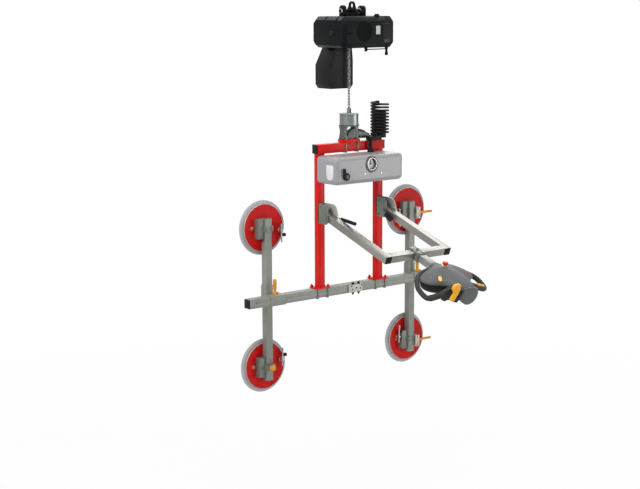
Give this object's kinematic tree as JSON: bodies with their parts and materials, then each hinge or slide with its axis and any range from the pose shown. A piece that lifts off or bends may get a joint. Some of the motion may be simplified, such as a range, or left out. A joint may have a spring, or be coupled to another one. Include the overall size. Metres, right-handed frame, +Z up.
{
  "type": "glass panel lifter",
  "caption": "Vacuum glass lifter on a chain hoist: red frame, grey beam with sliding cross-arms and suction pads, tilting operator handle with control unit.",
  "frame": {"origin": "centre of the bore in the suspension eye", "axes": "+Z up, +X along the main beam, the operator on the -Y side and the glass on the +Y side"},
  "size_m": [1.428, 1.1085, 2.133],
  "materials": {
    "black_metal": "satin",
    "black_plastic": "matte",
    "steel": "brushed",
    "machined_steel": "machined",
    "motor_iron": "cast",
    "red_paint": "gloss",
    "grey_tube": "galvanised",
    "light_tube": "satin",
    "grey_casing": "satin",
    "grey_rubber": "matte",
    "black_rubber": "matte",
    "orange_plastic": "gloss",
    "red_plastic": "gloss",
    "unit_plastic": "satin",
    "gauge_white": "gloss"
  },
  "bodies": {
    "hoist": {"suspension_eye": "black_metal", "suspension_pin": "black_metal", "hoist_housing": "black_metal", "motor_cover": "black_metal", "motor_stator": "motor_iron", "hoist_fittings": "black_metal", "chain_box": "black_plastic"},
    "wheel": {"chain_wheel": "machined_steel", "drive_gear": "machined_steel"},
    "rotor": {"motor_rotor": "motor_iron"},
    "chain": {"load_chain": "steel", "swivel_stem": "machined_steel"},
    "lifter": {"swivel_housing": "machined_steel", "swivel_yoke": "steel", "lifting_frame": "red_paint", "frame_straps": "steel", "main_beam": "grey_tube", "tube_end_caps": "black_plastic", "valve_manifold": "steel", "vacuum_housing": "grey_casing", "vacuum_pump": "motor_iron", "gauge_case": "gauge_white", "cable_bracket": "black_plastic", "curly_cable": "black_rubber", "cable_connector": "black_plastic", "handle_brackets": "steel"},
    "needle": {"gauge_needle": "black_metal"},
    "valve": {"vacuum_valve_lever": "black_plastic"},
    "left_arm": {"left_cross_arm": "grey_tube"},
    "right_arm": {"right_cross_arm": "grey_tube"},
    "left_arm_screw": {"left_arm_clamp": "orange_plastic"},
    "right_arm_screw": {"right_arm_clamp": "orange_plastic"},
    "handle": {"handle_frame": "light_tube", "handle_end_caps": "black_plastic", "handle_clamp": "steel"},
    "left_lever": {"left_lock_lever": "black_plastic"},
    "right_lever": {"right_lock_lever": "black_plastic"},
    "control": {"extension_tube": "light_tube", "control_housing": "unit_plastic", "control_grips": "black_rubber"},
    "left_trigger_body": {"left_trigger": "orange_plastic"},
    "right_trigger_body": {"right_trigger": "orange_plastic"},
    "selector": {"selector_button": "orange_plastic"},
    "stop": {"stop_button": "red_plastic"},
    "left_upper_pad": {"left_upper_pad_bracket": "grey_tube", "left_upper_pad_plate": "red_paint", "left_upper_pad_seal": "grey_rubber"},
    "left_upper_screw": {"left_upper_pad_clamp": "steel"},
    "left_lower_pad": {"left_lower_pad_bracket": "grey_tube", "left_lower_pad_plate": "red_paint", "left_lower_pad_seal": "grey_rubber"},
    "left_lower_screw": {"left_lower_pad_clamp": "orange_plastic"},
    "right_upper_pad": {"right_upper_pad_bracket": "grey_tube", "right_upper_pad_plate": "red_paint", "right_upper_pad_seal": "grey_rubber"},
    "right_upper_screw": {"right_upper_pad_clamp": "orange_plastic"},
    "right_lower_pad": {"right_lower_pad_bracket": "grey_tube", "right_lower_pad_plate": "red_paint", "right_lower_pad_seal": "grey_rubber"},
    "right_lower_screw": {"right_lower_pad_clamp": "orange_plastic"}
  },
  "joints": [
    {"name": "lift", "type": "slide", "parent": "hoist", "child": "chain", "axis": [0, 0, 1], "range_m": [-0.05, 0.06]},
    {"name": "chain_wheel_turn", "type": "hinge", "parent": "hoist", "child": "wheel", "pos_m": [-0.022, 0.024, -0.139], "axis": [1, 0, 0], "range_deg": [-145, 121]},
    {"name": "rotor_turn", "type": "hinge", "parent": "hoist", "child": "rotor", "pos_m": [-0.022, -0.046, -0.139], "axis": [1, 0, 0], "range_deg": [-480, 575]},
    {"name": "swivel", "type": "hinge", "parent": "chain", "child": "lifter", "pos_m": [-0.022, 0, -0.625], "axis": [0, 0, 1], "continuous": true},
    {"name": "needle_swing", "type": "hinge", "parent": "lifter", "child": "needle", "pos_m": [-0.012, -0.175, -0.859], "axis": [0, 1, 0], "range_deg": [-120, 120], "stiffness_Nm_per_rad": 0.02},
    {"name": "valve_turn", "type": "hinge", "parent": "lifter", "child": "valve", "pos_m": [-0.2, -0.19, -0.915], "axis": [0, 1, 0], "range_deg": [0, 90]},
    {"name": "left_arm_slide", "type": "slide", "parent": "lifter", "child": "left_arm", "axis": [1, 0, 0], "range_m": [-0.12, 0.18]},
    {"name": "right_arm_slide", "type": "slide", "parent": "lifter", "child": "right_arm", "axis": [1, 0, 0], "range_m": [-0.18, 0.12]},
    {"name": "left_arm_clamp_turn", "type": "hinge", "parent": "left_arm", "child": "left_arm_screw", "pos_m": [-0.548, 0, -1.54], "axis": [0, 0, 1], "range_deg": [-180, 180]},
    {"name": "right_arm_clamp_turn", "type": "hinge", "parent": "right_arm", "child": "right_arm_screw", "pos_m": [0.5, 0, -1.54], "axis": [0, 0, 1], "range_deg": [-180, 180]},
    {"name": "left_upper_pad_slide", "type": "slide", "parent": "left_arm", "child": "left_upper_pad", "axis": [0, 0, 1], "range_m": [-0.2, 0]},
    {"name": "left_upper_clamp_turn", "type": "hinge", "parent": "left_upper_pad", "child": "left_upper_screw", "pos_m": [-0.504, 0.0588, -1.211], "axis": [1, 0, 0], "range_deg": [-180, 180]},
    {"name": "left_lower_pad_slide", "type": "slide", "parent": "left_arm", "child": "left_lower_pad", "axis": [0, 0, 1], "range_m": [-0.02, 0.2]},
    {"name": "left_lower_clamp_turn", "type": "hinge", "parent": "left_lower_pad", "child": "left_lower_screw", "pos_m": [-0.564, 0, -1.96], "axis": [0, 1, 0], "range_deg": [-180, 180]},
    {"name": "right_upper_pad_slide", "type": "slide", "parent": "right_arm", "child": "right_upper_pad", "axis": [0, 0, 1], "range_m": [-0.2, 0]},
    {"name": "right_upper_clamp_turn", "type": "hinge", "parent": "right_upper_pad", "child": "right_upper_screw", "pos_m": [0.544, 0.0588, -1.211], "axis": [1, 0, 0], "range_deg": [-180, 180]},
    {"name": "right_lower_pad_slide", "type": "slide", "parent": "right_arm", "child": "right_lower_pad", "axis": [0, 0, 1], "range_m": [-0.02, 0.2]},
    {"name": "right_lower_clamp_turn", "type": "hinge", "parent": "right_lower_pad", "child": "right_lower_screw", "pos_m": [0.544, 0.0588, -1.982], "axis": [1, 0, 0], "range_deg": [-180, 180]},
    {"name": "handle_tilt", "type": "hinge", "parent": "lifter", "child": "handle", "pos_m": [-0.022, -0.086, -1.146], "axis": [1, 0, 0], "range_deg": [-50, 40]},
    {"name": "left_lock_turn", "type": "hinge", "parent": "lifter", "child": "left_lever", "pos_m": [-0.2, -0.086, -1.146], "axis": [1, 0, 0], "range_deg": [-30, 10]},
    {"name": "right_lock_turn", "type": "hinge", "parent": "lifter", "child": "right_lever", "pos_m": [0.156, -0.086, -1.146], "axis": [1, 0, 0], "range_deg": [-50, 10]},
    {"name": "extension_slide", "type": "slide", "parent": "handle", "child": "control", "axis": [0, -0.9444, -0.3289], "range_m": [-0.08, 0.03]},
    {"name": "left_trigger_pull", "type": "hinge", "parent": "control", "child": "left_trigger_body", "pos_m": [-0.076, -0.94201, -1.46104], "axis": [1, 0, 0], "range_deg": [0, 12], "stiffness_Nm_per_rad": 1},
    {"name": "right_trigger_pull", "type": "hinge", "parent": "control", "child": "right_trigger_body", "pos_m": [0.1372, -0.87903, -1.46918], "axis": [-0.8975, -0.3852, 0.215], "range_deg": [0, 15], "stiffness_Nm_per_rad": 1},
    {"name": "selector_press", "type": "slide", "parent": "control", "child": "selector", "axis": [0, -0.3289, 0.9444], "range_m": [-0.0025, 0], "stiffness_N_per_m": 800},
    {"name": "stop_press", "type": "slide", "parent": "control", "child": "stop", "axis": [0, -0.3289, 0.9444], "range_m": [-0.006, 0], "stiffness_N_per_m": 1500}
  ],
  "couplings": [
    {"joint": "chain_wheel_turn", "follows": "lift", "rad_per_m": -41.667},
    {"joint": "rotor_turn", "follows": "lift", "rad_per_m": 166.67}
  ]
}
